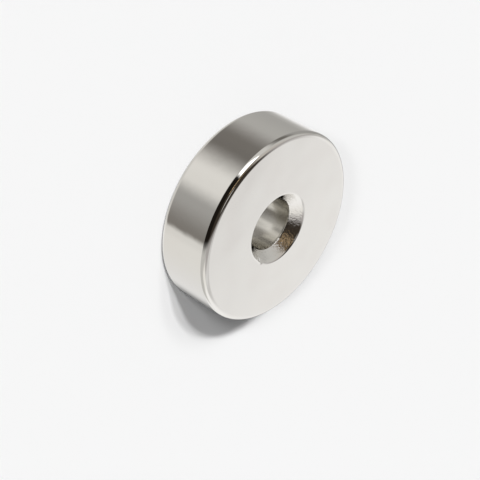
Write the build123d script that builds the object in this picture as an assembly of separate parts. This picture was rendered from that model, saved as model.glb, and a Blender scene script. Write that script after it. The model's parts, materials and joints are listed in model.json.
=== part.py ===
from build123d import *
import os
from math import radians, tan

# Ring magnet with a countersunk screw hole: one pressed, ground and nickel-plated solid of
# revolution. Its plain back face lies on the XY plane, +Z runs along its axis, and the
# countersunk front face looks up. Lengths are in millimetres, angles in degrees, and all
# sizes are over the plating.

# Body
outer_diameter = 32.0
thickness = 9.5
rim_edge_radius = 0.8  # tumbled edge between the rim and each flat face

# Screw hole
bore_diameter = 8.6
back_bore_edge_radius = 0.4  # bore wall to back face
countersink_depth = 1.65  # front face to the point where the cone meets the bore wall
countersink_angle = 90.0  # full angle of the cone, for a flat-head screw
countersink_lip_radius = 0.5  # cone to front face
countersink_foot_radius = 0.3  # cone to bore wall


def ring_section():
    """Half section of the ring on the XZ plane, from the bore wall out to the rim."""
    bore_wall = bore_diameter / 2
    rim = outer_diameter / 2
    cone_spread = countersink_depth * tan(radians(countersink_angle / 2))
    rounded_corners = [
        ((bore_wall, 0), back_bore_edge_radius),
        ((rim, 0), rim_edge_radius),
        ((rim, thickness), rim_edge_radius),
        ((bore_wall + cone_spread, thickness), countersink_lip_radius),
        ((bore_wall, thickness - countersink_depth), countersink_foot_radius),
    ]
    corners = [corner for corner, radius in rounded_corners]
    radii = [radius for corner, radius in rounded_corners]
    outline = FilletPolyline(*corners, radius=radii, close=True)
    return Plane.XZ * make_face(outline)


def ring_magnet():
    """The whole magnet, turned once about its axis."""
    return revolve(ring_section(), axis=Axis.Z)


os.makedirs("parts", exist_ok=True)
export_step(ring_magnet(), "parts/ring_magnet.step")
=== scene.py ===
import json
import math

import bpy
from mathutils import Matrix, Vector


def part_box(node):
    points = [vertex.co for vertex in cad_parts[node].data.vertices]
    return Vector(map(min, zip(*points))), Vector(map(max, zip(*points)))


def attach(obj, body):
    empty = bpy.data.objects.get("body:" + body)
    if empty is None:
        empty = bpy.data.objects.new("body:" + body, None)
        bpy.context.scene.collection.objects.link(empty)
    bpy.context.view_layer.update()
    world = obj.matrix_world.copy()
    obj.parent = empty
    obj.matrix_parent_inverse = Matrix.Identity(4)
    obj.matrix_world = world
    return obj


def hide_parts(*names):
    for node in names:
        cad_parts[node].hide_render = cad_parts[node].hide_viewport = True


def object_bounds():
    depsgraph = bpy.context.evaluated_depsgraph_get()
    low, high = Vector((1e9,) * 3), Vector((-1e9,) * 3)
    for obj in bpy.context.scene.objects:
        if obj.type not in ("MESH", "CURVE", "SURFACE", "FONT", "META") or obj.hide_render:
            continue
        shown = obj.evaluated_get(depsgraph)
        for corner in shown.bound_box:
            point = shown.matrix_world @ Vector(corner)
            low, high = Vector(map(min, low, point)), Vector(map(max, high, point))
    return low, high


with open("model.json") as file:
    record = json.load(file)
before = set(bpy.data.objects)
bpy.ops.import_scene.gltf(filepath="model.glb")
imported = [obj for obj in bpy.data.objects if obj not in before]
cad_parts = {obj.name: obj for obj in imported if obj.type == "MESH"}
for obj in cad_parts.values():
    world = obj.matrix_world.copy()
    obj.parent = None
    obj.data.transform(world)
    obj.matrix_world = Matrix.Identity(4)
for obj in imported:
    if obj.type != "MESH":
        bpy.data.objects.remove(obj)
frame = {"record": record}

# Ring magnet with a countersunk screw hole, in bright nickel plating. The model lies on its plain
# back face at z = 0 and its axis is +Z. Lengths are in metres unless a name says mm. Bearings go
# from +X towards +Y.

MM = 0.001
NODE = "ring_magnet"

# ---------------------------------------------------------------- sizes, from the frame

cad_low, cad_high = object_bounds()
ring_low, ring_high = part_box(NODE)
RIM_RADIUS = (ring_high.x - ring_low.x) / 2
THICKNESS = ring_high.z - ring_low.z
mounts = {mount["name"]: mount for mount in frame["record"]["mounts"]}
BORE_RADIUS = mounts["screw_bore"]["dims"]["r_mm"] * MM

# Sizes that the frame doesn't state, as in the solid.
RIM_EDGE_RADIUS = 0.8 * MM
BACK_BORE_EDGE_RADIUS = 0.4 * MM
COUNTERSINK_DEPTH = 1.65 * MM
COUNTERSINK_HALF_ANGLE = math.radians(45.0)
COUNTERSINK_LIP_RADIUS = 0.5 * MM
COUNTERSINK_FOOT_RADIUS = 0.3 * MM
MOUTH_RADIUS = BORE_RADIUS + COUNTERSINK_DEPTH * math.tan(COUNTERSINK_HALF_ANGLE)
FOOT_HEIGHT = THICKNESS - COUNTERSINK_DEPTH

# ---------------------------------------------------------------- the camera

LENS_MM = 105.0
SENSOR_MM = 36.0
CAMERA_BEARING = math.radians(-46.7)
CAMERA_ELEVATION = math.radians(33.55)
CAMERA_DISTANCE = 0.2187
CAMERA_ROLL = math.radians(120.3)  # the magnet is seen as if it stood on its rim
AIM_OFFSET = Vector((3.33, 2.96, -0.2)) * MM  # from the middle of the magnet
CLIP_START = 0.01
CLIP_END = 20.0


def direction(bearing, elevation):
    """Unit vector to a bearing from +X towards +Y and an elevation above the floor."""
    level = math.cos(elevation)
    return Vector((level * math.cos(bearing), level * math.sin(bearing), math.sin(elevation)))


def make_camera():
    camera = bpy.data.objects.new("camera", bpy.data.cameras.new("camera"))
    bpy.context.scene.collection.objects.link(camera)
    camera.data.lens = LENS_MM
    camera.data.sensor_width = SENSOR_MM
    camera.data.clip_start = CLIP_START
    camera.data.clip_end = CLIP_END
    outwards = direction(CAMERA_BEARING, CAMERA_ELEVATION)
    camera.location = (cad_low + cad_high) / 2 + AIM_OFFSET + outwards * CAMERA_DISTANCE
    upright = (-outwards).to_track_quat("-Z", "Y").to_matrix()
    camera.rotation_euler = (upright @ Matrix.Rotation(CAMERA_ROLL, 3, "Z")).to_euler()
    bpy.context.scene.camera = camera


# ---------------------------------------------------------------- the mesh

SEGMENTS = 480  # round the axis
ARC_STEPS = 14  # on each rounded corner
WALL_STEPS = 10  # on each straight stretch
FINE_STEPS = 10  # small steps that work out each step of a rounded corner
EDGE_EASING = 0.4  # how softly the tumbled rim edges set in


def rounded_corner(before, corner, after, radius, easing):
    """Points and outward normals that round a profile's corner.

    Easing 0 gives an arc. Above 0 the bend sets in softly at both ends, as on a tumbled edge, and
    still takes as much off the corner as the arc would.
    """
    arrive = (corner - before).normalized()
    turning = arrive.angle_signed(after - corner)
    half = abs(turning) / 2
    steps = ARC_STEPS * FINE_STEPS
    point, spine = Vector((0.0, 0.0)), []
    for step in range(steps + 1):
        share = step / steps
        eased = share - easing * math.sin(2 * math.pi * share) / (2 * math.pi)
        heading = Vector(arrive)
        heading.rotate(Matrix.Rotation(-turning * eased, 2))
        spine.append((Vector(point), Vector((heading.y, -heading.x))))
        point += heading / steps
    end = spine[-1][0]
    reach = end.length / (2 * math.cos(half))
    middle = spine[steps // 2][0]
    cut = (arrive * reach - middle).length
    size = radius * (1 / math.cos(half) - 1) / cut
    start = corner - arrive * reach * size
    return [(start + place * size, normal) for place, normal in spine[::FINE_STEPS]]


def ring_profile():
    """Closed profile as (radius, height) points with their outward normals."""
    corners = [
        (Vector((BORE_RADIUS, 0.0)), BACK_BORE_EDGE_RADIUS, 0.0),
        (Vector((RIM_RADIUS, 0.0)), RIM_EDGE_RADIUS, EDGE_EASING),
        (Vector((RIM_RADIUS, THICKNESS)), RIM_EDGE_RADIUS, EDGE_EASING),
        (Vector((MOUTH_RADIUS, THICKNESS)), COUNTERSINK_LIP_RADIUS, 0.0),
        (Vector((BORE_RADIUS, FOOT_HEIGHT)), COUNTERSINK_FOOT_RADIUS, 0.0),
    ]
    arcs = []
    for index, (corner, radius, easing) in enumerate(corners):
        before = corners[index - 1][0]
        after = corners[(index + 1) % len(corners)][0]
        arcs.append(rounded_corner(before, corner, after, radius, easing))
    profile = []
    for index, arc in enumerate(arcs):
        profile += arc
        wall_start, normal = arc[-1]
        wall_end = arcs[(index + 1) % len(arcs)][0][0]
        for step in range(1, WALL_STEPS):
            profile.append((wall_start.lerp(wall_end, step / WALL_STEPS), normal))
    return profile


def turn(profile, name):
    """Turns a closed profile about +Z into a mesh object with exact smooth normals."""
    vertices, normals, faces = [], [], []
    for segment in range(SEGMENTS):
        angle = 2 * math.pi * segment / SEGMENTS
        cosine, sine = math.cos(angle), math.sin(angle)
        for point, normal in profile:
            vertices.append((point.x * cosine, point.x * sine, point.y))
            normals.append((normal.x * cosine, normal.x * sine, normal.y))
    count = len(profile)
    for segment in range(SEGMENTS):
        here = segment * count
        there = (segment + 1) % SEGMENTS * count
        for step in range(count):
            onward = (step + 1) % count
            faces.append((here + step, there + step, there + onward, here + onward))
    mesh = bpy.data.meshes.new(name)
    mesh.from_pydata(vertices, [], faces)
    mesh.polygons.foreach_set("use_smooth", [True] * len(faces))
    mesh.validate()
    mesh.normals_split_custom_set_from_vertices(normals)
    piece = bpy.data.objects.new(name, mesh)
    bpy.context.scene.collection.objects.link(piece)
    return piece


# ---------------------------------------------------------------- node helpers


class Nodes:
    """A node tree with short calls for the nodes that this script uses."""

    def __init__(self, tree):
        self.tree = tree
        tree.nodes.clear()

    def add(self, kind, **values):
        node = self.tree.nodes.new(kind)
        for name, value in values.items():
            setattr(node, name, value)
        return node

    def feed(self, socket, value):
        if isinstance(value, bpy.types.NodeSocket):
            self.tree.links.new(value, socket)
        else:
            socket.default_value = value

    def math(self, operation, *values):
        node = self.add("ShaderNodeMath", operation=operation)
        for socket, value in zip(node.inputs, values):
            self.feed(socket, value)
        return node.outputs[0]

    def times(self, first, *others):
        product = first
        for other in others:
            product = self.math("MULTIPLY", product, other)
        return product

    def total(self, first, *others):
        result = first
        for other in others:
            result = self.math("ADD", result, other)
        return result

    def mix(self, factor, first, second):
        """Colour first where factor is 0, second where it is 1."""
        node = self.add("ShaderNodeMix", data_type="RGBA")
        self.feed(node.inputs["Factor"], factor)
        self.feed(node.inputs[6], first)
        self.feed(node.inputs[7], second)
        return node.outputs[2]

    def slide(self, value, start, end, at_start=0.0, at_end=1.0):
        """Goes smoothly from one number to another while value goes from start to end."""
        node = self.add("ShaderNodeMapRange", interpolation_type="SMOOTHSTEP")
        for socket, number in zip(node.inputs, (value, start, end, at_start, at_end)):
            self.feed(socket, number)
        return node.outputs[0]

    def below(self, value, start, end):
        """1 below start, and 0 above end."""
        return self.slide(value, start, end, 1.0, 0.0)

    def between(self, value, low, high, blur):
        """1 between low and high and 0 outside, with borders that are 2 blur wide."""
        from_middle = self.math("ABSOLUTE", self.math("SUBTRACT", value, (low + high) / 2))
        reach = (high - low) / 2
        return self.below(from_middle, reach - blur, reach + blur)

    def vector(self, operation, *values):
        node = self.add("ShaderNodeVectorMath", operation=operation)
        for socket, value in zip(node.inputs, values):
            self.feed(socket, value)
        return node.outputs

    def along(self, vector, axis):
        return self.vector("DOT_PRODUCT", vector, axis)["Value"]

    def length(self, vector):
        return self.vector("LENGTH", vector)["Value"]

    def stretched(self, vector, factors):
        return self.vector("MULTIPLY", vector, factors)["Vector"]

    def moved(self, vector, shift):
        return self.vector("ADD", vector, shift)["Vector"]

    def parts(self, vector):
        node = self.add("ShaderNodeSeparateXYZ")
        self.feed(node.inputs[0], vector)
        return node.outputs

    def ramp(self, factor, stops):
        """Smooth colour ramp from (place, colour) stops."""
        node = self.add("ShaderNodeValToRGB")
        node.color_ramp.interpolation = "EASE"
        elements = node.color_ramp.elements
        while len(elements) < len(stops):
            elements.new(0.5)
        for element, (place, colour) in zip(elements, stops):
            element.position = place
            element.color = colour
        self.feed(node.inputs[0], factor)
        return node.outputs[0]

    def noise(self, vector, scale, detail=2.0):
        node = self.add("ShaderNodeTexNoise")
        self.feed(node.inputs["Vector"], vector)
        self.feed(node.inputs["Scale"], scale)
        self.feed(node.inputs["Detail"], detail)
        return node.outputs["Fac"]

    def background(self, colour, strength=1.0):
        node = self.add("ShaderNodeBackground")
        self.feed(node.inputs["Color"], colour)
        self.feed(node.inputs["Strength"], strength)
        return node.outputs[0]

    def mix_shader(self, factor, first, second):
        node = self.add("ShaderNodeMixShader")
        for socket, value in zip(node.inputs, (factor, first, second)):
            self.feed(socket, value)
        return node.outputs[0]


# ---------------------------------------------------------------- the plating

NICKEL = (0.80, 0.787, 0.757, 1.0)
NICKEL_WARM = (0.795, 0.775, 0.745, 1.0)
BORE_NICKEL = (0.80, 0.78, 0.735, 1.0)
# Painted shade: the bore's colour where it is painted darkest.
BORE_PAINTED_SHADE = (0.40, 0.378, 0.328, 1.0)

# Borders of the zones of the finish, from where each starts to change to where it has changed.
CONE_RADII = (MOUTH_RADIUS - 0.45 * MM, MOUTH_RADIUS - 0.05 * MM)
CONE_HEIGHTS = (FOOT_HEIGHT - 0.2 * MM, FOOT_HEIGHT + 0.2 * MM)
BORE_RADII = (BORE_RADIUS + 0.02 * MM, BORE_RADIUS + 0.25 * MM)
BORE_HEIGHTS = (FOOT_HEIGHT - 0.35 * MM, FOOT_HEIGHT - 0.1 * MM)
RIM_RADII = (RIM_RADIUS - 0.6 * MM, RIM_RADIUS - 0.1 * MM)
FACE_HEIGHTS = (THICKNESS - 0.007 * MM, THICKNESS - 0.001 * MM)

# Painted shade darkens the bore towards the countersink, but not a strip of painted reflection.
PAINTED_SHADE_HEIGHTS = (2.5 * MM, 7.0 * MM)
PAINTED_SHADE_SHARES = (0.05, 0.9)
# A painted reflection: the strip at one bearing where the bore keeps its bright colour.
PAINTED_REFLECTION_STRIP = direction(math.radians(120.0), 0.0)
PAINTED_REFLECTION_STRIP_BORDER = (0.78, 0.985)  # cosine of the angle from the strip
PAINTED_SHADE_UNEVENNESS = 0.08

# The nick in the countersink's lip.
NICK_PLACE = direction(math.radians(49.0), 0.0) * 5.6 * MM + Vector((0.0, 0.0, THICKNESS))
NICK_BORDER = (0.1 * MM, 0.75 * MM)
NICK_DEPTH = 0.10 * MM

# Waves to the metre in the noise behind each unevenness.
SWELL_SCALE = 110.0
MOTTLE_SCALE = 180.0
WAVE_SCALE = 650.0
RIM_WAVE_SCALE = 330.0
GRAIN_SCALE = 3900.0
STREAK_SCALE = 1100.0
STREAK_STRETCH = (1.0, 1.0, 0.12)  # streaks run along the bore
DENT_SCALE = 420.0
DENT_STRETCH = (1.0, 1.0, 0.5)

# Heights of the bumps.
SWELL_HEIGHT = 0.05 * MM
WAVE_HEIGHT = 0.0022 * MM
RIM_WAVE_HEIGHT = 0.02 * MM
GRAIN_HEIGHT = 0.052 * MM
STREAK_HEIGHT = 0.003 * MM
DENT_HEIGHT = 0.04 * MM

# The part of a noise's range that counts, and the roughness that it gives each zone.
NOISE_RANGE = (0.3, 0.7)
WARMTH_RANGE = (0.35, 0.7)
ROUGHNESS = (0.03, 0.05)
CONE_ROUGHNESS = (0.0, 0.03)  # this one and the next two are added to the first
BORE_ROUGHNESS = (0.14, 0.20)
FACE_ROUGHNESS = 0.08


def plating():
    """Bright nickel: mirror-like outside, grainy in the countersink and streaked in the bore."""
    material = bpy.data.materials.new("bright_nickel")
    material.use_nodes = True
    nodes = Nodes(material.node_tree)
    place = nodes.add("ShaderNodeTexCoord").outputs["Object"]
    height = nodes.parts(place)[2]
    radius = nodes.length(nodes.stretched(place, (1.0, 1.0, 0.0)))

    in_cone = nodes.times(nodes.below(radius, *CONE_RADII), nodes.slide(height, *CONE_HEIGHTS))
    in_bore = nodes.times(nodes.below(radius, *BORE_RADII), nodes.below(height, *BORE_HEIGHTS))
    mottle = nodes.noise(place, MOTTLE_SCALE, 3.0)
    grain = nodes.noise(place, GRAIN_SCALE, 1.0)
    streak = nodes.noise(nodes.stretched(place, STREAK_STRETCH), STREAK_SCALE)

    # Painted shade in the bore, left off along a strip of painted reflection.
    painted_shade_share = bore_painted_shade(nodes, place, height, radius, streak)
    outside = nodes.mix(nodes.slide(mottle, *WARMTH_RANGE), NICKEL, NICKEL_WARM)
    # In the bore the colour goes towards the painted shade.
    colour = nodes.mix(in_bore, outside, nodes.mix(painted_shade_share, BORE_NICKEL, BORE_PAINTED_SHADE))
    roughness = nodes.total(
        nodes.slide(mottle, *NOISE_RANGE, *ROUGHNESS),
        nodes.times(nodes.slide(height, *FACE_HEIGHTS), FACE_ROUGHNESS),
        nodes.times(in_cone, nodes.slide(grain, *NOISE_RANGE, *CONE_ROUGHNESS)),
        nodes.times(in_bore, nodes.slide(streak, *NOISE_RANGE, *BORE_ROUGHNESS)),
    )
    relief = nodes.total(
        outside_relief(nodes, place, radius),
        nodes.times(grain, in_cone, GRAIN_HEIGHT),
        nodes.times(streak, in_bore, STREAK_HEIGHT),
        dents_and_nick(nodes, place, in_bore),
    )
    bump = nodes.add("ShaderNodeBump")
    nodes.feed(bump.inputs["Distance"], 1.0)
    nodes.feed(bump.inputs["Height"], relief)

    shader = nodes.add("ShaderNodeBsdfPrincipled")
    nodes.feed(shader.inputs["Metallic"], 1.0)
    nodes.feed(shader.inputs["Base Color"], colour)
    nodes.feed(shader.inputs["Roughness"], roughness)
    nodes.feed(shader.inputs["Normal"], bump.outputs[0])
    output = nodes.add("ShaderNodeOutputMaterial")
    nodes.feed(output.inputs[0], shader.outputs[0])
    return material


def bore_painted_shade(nodes, place, height, radius, streak):
    """0 where the bore keeps its own colour and 1 where its painted shade is darkest."""
    # The painted shade grows towards the countersink.
    near_mouth = nodes.slide(height, *PAINTED_SHADE_HEIGHTS, *PAINTED_SHADE_SHARES)
    # The painted reflection: no painted shade on the strip at one bearing.
    facing_painted_reflection = nodes.math("DIVIDE", nodes.along(place, PAINTED_REFLECTION_STRIP), radius)
    beside_painted_reflection = nodes.below(facing_painted_reflection, *PAINTED_REFLECTION_STRIP_BORDER)
    uneven = nodes.slide(streak, *NOISE_RANGE, -PAINTED_SHADE_UNEVENNESS, PAINTED_SHADE_UNEVENNESS)
    return nodes.math("MULTIPLY_ADD", near_mouth, beside_painted_reflection, uneven)


def outside_relief(nodes, place, radius):
    """The faint swell and waves of the plating, stronger on the rim."""
    return nodes.total(
        nodes.times(nodes.noise(place, SWELL_SCALE, 1.0), SWELL_HEIGHT),
        nodes.times(nodes.noise(place, WAVE_SCALE, 1.0), WAVE_HEIGHT),
        nodes.times(
            nodes.noise(place, RIM_WAVE_SCALE),
            nodes.slide(radius, *RIM_RADII),
            RIM_WAVE_HEIGHT,
        ),
    )


def dents_and_nick(nodes, place, in_bore):
    dents = nodes.noise(nodes.stretched(place, DENT_STRETCH), DENT_SCALE, 1.0)
    from_nick = nodes.length(nodes.moved(place, -NICK_PLACE))
    nick = nodes.slide(from_nick, *NICK_BORDER, -1.0, 0.0)
    return nodes.total(
        nodes.times(dents, in_bore, DENT_HEIGHT),
        nodes.times(nick, NICK_DEPTH),
    )


# ---------------------------------------------------------------- the studio

AMBIENT = 0.10
PALE = (0.93, 0.93, 0.93, 1.0)  # the floor, and the background behind it

# Tints of what stands round the magnet.
PAPER = (1.0, 0.995, 0.99)
PLAIN = (1.0, 0.985, 0.95)
WARM = (1.0, 0.94, 0.87)
ROSE = (1.0, 0.955, 0.94)
DARK = (1.0, 0.80, 0.60)
BROWN = (1.0, 0.72, 0.43)


def light(level, tint=PLAIN):
    return (*(level * share for share in tint), 1.0)


# How light the table looks from the magnet's rim, by bearing in degrees.
TABLE = [
    (-180, light(0.43)),
    (-145, light(0.48)),
    (-112, light(0.20, WARM)),
    (-98, light(0.19, WARM)),
    (-62, light(0.85)),
    (-48, light(0.83)),
    (-26, light(0.41)),
    (9, light(0.24, WARM)),
    (17, light(0.80)),
    (28, light(0.86)),
    (90, light(0.87, PAPER)),
    (120, light(0.26, PAPER)),
    (128, light(0.26, PAPER)),
    (142, light(0.92, PAPER)),
    (150, light(0.92, PAPER)),
    (175, light(0.47)),
    (180, light(0.43)),
]
TABLE_END = (-32.5, -28.5)  # elevations between which the mirrored table ends

# Walls, curtains and paper that stand round the table: their borders to the west, east, bottom
# and top in degrees, the blur of those borders, and the light they give. Later ones stand in front.
PANELS = [
    (-185, -112, 10, 50, 6, light(0.60)),
    (-200, 200, -60, 16, 14, light(0.38)),
    (14, 76, -60, 34, 8, light(0.60)),
    (34, 80, 4, 45, 8, light(0.94)),
    (-146, -126, -60, 12, 9, light(0.17, WARM)),
    (-119, -90, -60, 34, 6, light(0.68)),
    (76, 166, -60, 38, 9, light(0.99, PAPER)),
    (60, 108, -4, 30, 8, light(1.06, PAPER)),
    (72, 129, 42, 54, 7, light(0.80, PAPER)),
    (112, 166, -60, -3, 10, light(0.24)),
    (132, 149, 45, 62, 3, light(0.08)),
    (170, 190, 3, 24, 5, light(0.58)),
]
WALL = light(0.46, ROSE)

# The dark side of the room, behind the camera and overhead. Three of its borders are circles on the
# sky: the circle's axis, and how far along it a direction reaches where the border starts and ends.
DARK_SIDE_EAST = ((0.23, 0.97, 0.03), 0.25, 0.48)
DARK_SIDE_WEST = ((0.94, 0.33, 0.0), -0.02, 0.02)
DARK_SIDE_SLOPE = ((0.72, 0.36, 0.59), 0.08, 0.23)
DARK_SIDE_BOTTOM = (-34.0, -29.0)  # elevations at bearing 0
DARK_SIDE_TILT = 0.078  # how much lower its bottom is for each degree eastwards
DUSK_ELEVATIONS = (30.0, 60.0)
LOW_DUSK = light(0.012, DARK)
HIGH_DUSK = light(0.045, DARK)

# A screen that hangs in front of the dark side, in the same numbers as the panels.
SCREEN = (-178, -107, 46, 66, 5, light(0.58, WARM))

# Mottled brown screens in front of that: borders and blur, then the darkest and lightest tone.
BROWN_SCREENS = [
    (-116, -86, 43, 62, 3, 0.01, 0.34),
    (-90, -53, 51, 64, 3, 0.01, 0.84),
]
MOTTLED_SCALE = 26.0
MOTTLED_RANGE = (0.43, 0.59)

CEILING = light(0.58)
CEILING_BORDER = (81.0, 85.5)

# The lamp: a tall bright panel whose west border leans. Its borders are in degrees.
LAMP = light(2.0, PAPER)
LAMP_LEAN = 0.32
LAMP_WEST = (-99.0, -93.0)
LAMP_EAST = (-77.0, -71.0)
LAMP_BOTTOM = (-30.0, -14.0)
LAMP_TOP = (29.0, 39.0)

# What lies low under the magnet, on the table's side and on the dark side.
UNDER_TABLE_SIDE = light(0.72)
UNDER_DARK_SIDE = light(1.0, PAPER)
UNDER_BORDER = (-58.0, -40.0)


def mirrored_studio(nodes):
    """Colour that mirror-like metal shows in each direction."""
    place = nodes.add("ShaderNodeTexCoord").outputs["Generated"]
    x, y, z = nodes.parts(place)
    bearing = nodes.math("DEGREES", nodes.math("ARCTAN2", y, x))
    elevation = nodes.math("DEGREES", nodes.math("ARCSINE", z))

    def panel(behind, west, east, bottom, top, blur, colour):
        across = nodes.between(bearing, west, east, blur)
        up = nodes.between(elevation, bottom, top, blur)
        return nodes.mix(nodes.times(across, up), behind, colour)

    def past(border):
        axis, start, end = border
        return nodes.slide(nodes.along(place, axis), start, end)

    room = WALL
    for one in PANELS:
        room = panel(room, *one)

    east_axis, east_start, east_end = DARK_SIDE_EAST
    off_table = nodes.below(nodes.along(place, east_axis), east_start, east_end)
    west = nodes.math("MAXIMUM", past(DARK_SIDE_WEST), past(DARK_SIDE_SLOPE))
    tilted = nodes.math("MULTIPLY_ADD", bearing, DARK_SIDE_TILT, elevation)
    dark_side = nodes.times(off_table, west, nodes.slide(tilted, *DARK_SIDE_BOTTOM))
    dusk = nodes.mix(nodes.slide(elevation, *DUSK_ELEVATIONS), LOW_DUSK, HIGH_DUSK)
    room = nodes.mix(dark_side, room, dusk)

    room = panel(room, *SCREEN)
    mottled = nodes.slide(nodes.noise(place, MOTTLED_SCALE, 1.0), *MOTTLED_RANGE)
    for *borders, darkest, lightest in BROWN_SCREENS:
        tone = nodes.mix(mottled, light(darkest, BROWN), light(lightest, BROWN))
        room = panel(room, *borders, tone)
    room = nodes.mix(nodes.slide(elevation, *CEILING_BORDER), room, CEILING)

    leaning = nodes.math("MULTIPLY_ADD", elevation, LAMP_LEAN, bearing)
    lamp = nodes.times(
        nodes.slide(leaning, *LAMP_WEST),
        nodes.below(bearing, *LAMP_EAST),
        nodes.slide(elevation, *LAMP_BOTTOM),
        nodes.below(elevation, *LAMP_TOP),
    )
    room = nodes.mix(lamp, room, LAMP)

    turn_share = nodes.math("MULTIPLY_ADD", bearing, 1 / 360, 0.5)
    table = nodes.ramp(turn_share, [((stop + 180) / 360, colour) for stop, colour in TABLE])
    room = nodes.mix(nodes.slide(elevation, *TABLE_END), table, room)
    under = nodes.mix(off_table, UNDER_DARK_SIDE, UNDER_TABLE_SIDE)
    return nodes.mix(nodes.below(elevation, *UNDER_BORDER), room, under)


def make_world():
    """Pale to the camera, plain to the floor, and the studio to the metal."""
    world = bpy.data.worlds.new("studio")
    world.use_nodes = True
    bpy.context.scene.world = world
    nodes = Nodes(world.node_tree)
    mirrored = nodes.background(mirrored_studio(nodes))
    plain = nodes.background((1.0, 1.0, 1.0, 1.0), AMBIENT)
    rays = nodes.add("ShaderNodeLightPath")
    off_metal_only = nodes.math("LESS_THAN", rays.outputs["Diffuse Depth"], 0.5)
    shows_studio = nodes.times(rays.outputs["Is Glossy Ray"], off_metal_only)
    lit = nodes.mix_shader(shows_studio, plain, mirrored)
    seen = nodes.mix_shader(rays.outputs["Is Camera Ray"], lit, nodes.background(PALE))
    output = nodes.add("ShaderNodeOutputWorld")
    nodes.feed(output.inputs[0], seen)


FLOOR_REACH = 2.0
FLOOR_ROUGHNESS = 0.9


def make_floor():
    mesh = bpy.data.meshes.new("floor")
    reach = FLOOR_REACH
    corners = [(-reach, -reach, 0), (reach, -reach, 0), (reach, reach, 0), (-reach, reach, 0)]
    mesh.from_pydata(corners, [], [(0, 1, 2, 3)])
    floor = bpy.data.objects.new("floor", mesh)
    bpy.context.scene.collection.objects.link(floor)
    floor.visible_glossy = False
    material = bpy.data.materials.new("floor_paper")
    material.use_nodes = True
    shader = material.node_tree.nodes["Principled BSDF"]
    shader.inputs["Base Color"].default_value = PALE
    shader.inputs["Roughness"].default_value = FLOOR_ROUGHNESS
    shader.inputs["Specular IOR Level"].default_value = 0.0
    mesh.materials.append(material)


# The soft lamps that light the floor: bearing and elevation in degrees, level, and softness as the
# angle in degrees that the lamp fills.
LAMPS = [
    ("west_lamp", -93, 40, 0.10, 9),
    ("key_lamp", -80, 40, 0.26, 4),
    ("main_lamp", -72, 37, 0.31, 4),
    ("fill_lamp", -55, 30, 0.15, 9),
    ("side_lamp", -39, 25, 0.08, 5),
]


def make_sun(name, bearing, elevation, level, softness):
    """A soft distant lamp that alone would light a white floor to a level."""
    sun = bpy.data.lights.new(name, "SUN")
    sun.angle = math.radians(softness)
    outwards = direction(math.radians(bearing), math.radians(elevation))
    sun.energy = level * math.pi / outwards.z
    lamp = bpy.data.objects.new(name, sun)
    bpy.context.scene.collection.objects.link(lamp)
    lamp.rotation_euler = outwards.to_track_quat("Z", "Y").to_euler()
    lamp.visible_glossy = False


# ---------------------------------------------------------------- the scene

make_camera()
magnet = turn(ring_profile(), "plated_ring_magnet")
magnet.data.materials.append(plating())
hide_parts(NODE)
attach(magnet, "root")
make_world()
make_floor()
for name, bearing, elevation, level, softness in LAMPS:
    make_sun(name, bearing, elevation, level, softness)

bpy.context.scene.view_settings.view_transform = "Standard"
